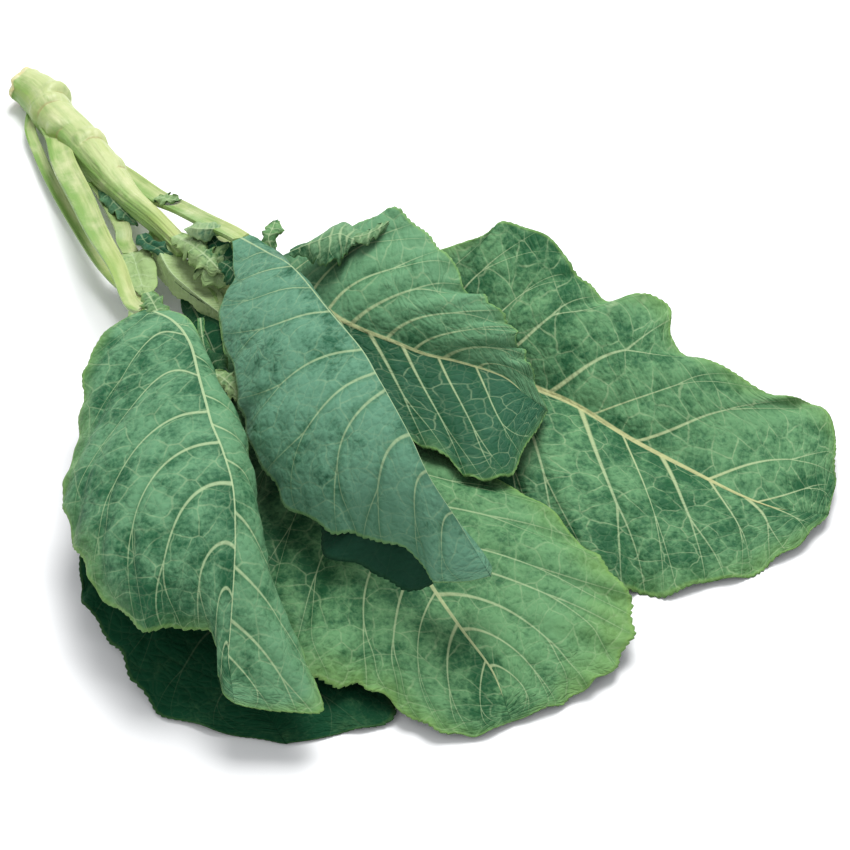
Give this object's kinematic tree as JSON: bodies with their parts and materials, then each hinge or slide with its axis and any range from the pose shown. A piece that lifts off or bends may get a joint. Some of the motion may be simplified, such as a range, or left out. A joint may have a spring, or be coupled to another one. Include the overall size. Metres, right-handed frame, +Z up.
{
  "type": "collard greens",
  "caption": "Cut top of a collard plant lying down: one thick pale stalk, long leaf stalks and broad waved blades stacked loosely over one another.",
  "frame": {"origin": "on the table under the middle of the whole object", "axes": "+Z up from the table; +Y from the leaf tips towards the stalk's cut end; +X towards the widest leaf's tip"},
  "size_m": [0.4611, 0.4984, 0.104],
  "materials": {
    "stalk": "satin",
    "leaf_stalk": "satin",
    "leaf_blade": "satin",
    "young_leaf": "satin"
  },
  "bodies": {
    "root": {"stalk": "stalk", "petiole_right": "leaf_stalk", "petiole_back": "leaf_stalk", "petiole_top": "leaf_stalk", "petiole_left": "leaf_stalk", "petiole_front": "leaf_stalk", "petiole_under": "leaf_stalk", "petiole_stub": "leaf_stalk", "blade_right": "leaf_blade", "blade_back": "leaf_blade", "blade_top": "leaf_blade", "blade_left": "leaf_blade", "blade_front": "leaf_blade", "blade_under": "leaf_blade", "blade_stub": "young_leaf", "sprout_pale": "young_leaf", "sprout_dark": "young_leaf", "sprout_low": "young_leaf", "sprout_between": "young_leaf"}
  },
  "joints": []
}
